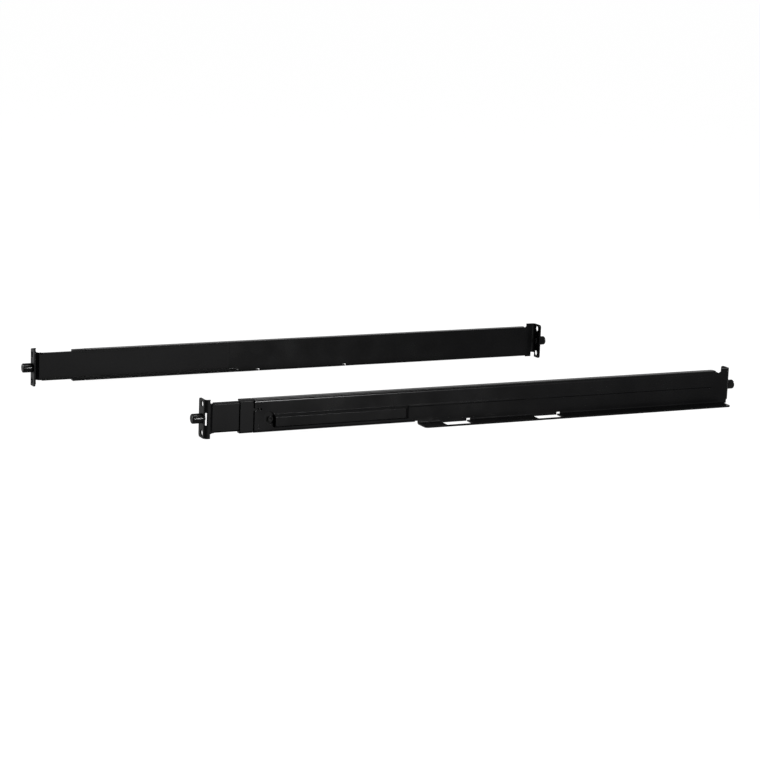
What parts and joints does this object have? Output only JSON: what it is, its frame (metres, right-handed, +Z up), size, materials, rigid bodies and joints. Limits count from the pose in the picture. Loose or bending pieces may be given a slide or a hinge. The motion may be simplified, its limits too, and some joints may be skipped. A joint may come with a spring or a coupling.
{
  "type": "server rack rail pair",
  "caption": "Pair of folded steel rails for a server rack, each with a shelf, flanges with screw holes and pegs, and a sliding rear bracket for the rack's depth.",
  "frame": {"origin": "middle of the pair's box on the floor", "axes": "+X along both rails to their front ends, +Y from the right rail to the left rail, +Z up"},
  "size_m": [0.788, 0.366, 0.043],
  "materials": {
    "powder_coat": "black powder coat, semi-gloss, fine grain",
    "black_steel": "turned steel, black plated, glossy",
    "black_screw": "black plated screw",
    "zinc_steel": "bright zinc plated"
  },
  "bodies": {
    "rails": {"right_main_channel": "powder_coat", "right_guide_sleeve": "powder_coat", "right_front_peg": "black_steel", "right_front_peg_screw": "black_screw", "right_sleeve_rivets": "powder_coat", "right_locating_pin": "zinc_steel", "right_clamp_screw": "zinc_steel", "right_clamp_washer": "zinc_steel", "left_main_channel": "powder_coat", "left_guide_sleeve": "powder_coat", "left_front_peg": "black_steel", "left_front_peg_screw": "black_screw", "left_sleeve_rivets": "powder_coat", "left_locating_pin": "zinc_steel", "left_clamp_screw": "zinc_steel", "left_clamp_washer": "zinc_steel"},
    "right_bracket": {"right_rear_bracket": "powder_coat", "right_rear_peg": "black_steel", "right_rear_peg_screw": "black_screw", "right_stop_stud": "zinc_steel"},
    "left_bracket": {"left_rear_bracket": "powder_coat", "left_rear_peg": "black_steel", "left_rear_peg_screw": "black_screw", "left_stop_stud": "zinc_steel"}
  },
  "joints": [
    {"name": "right_depth_slide", "type": "slide", "parent": "rails", "child": "right_bracket", "axis": [-1, 0, 0], "range_m": [-0.022, 0.125]},
    {"name": "left_depth_slide", "type": "slide", "parent": "rails", "child": "left_bracket", "axis": [-1, 0, 0], "range_m": [-0.03, 0.117]}
  ]
}
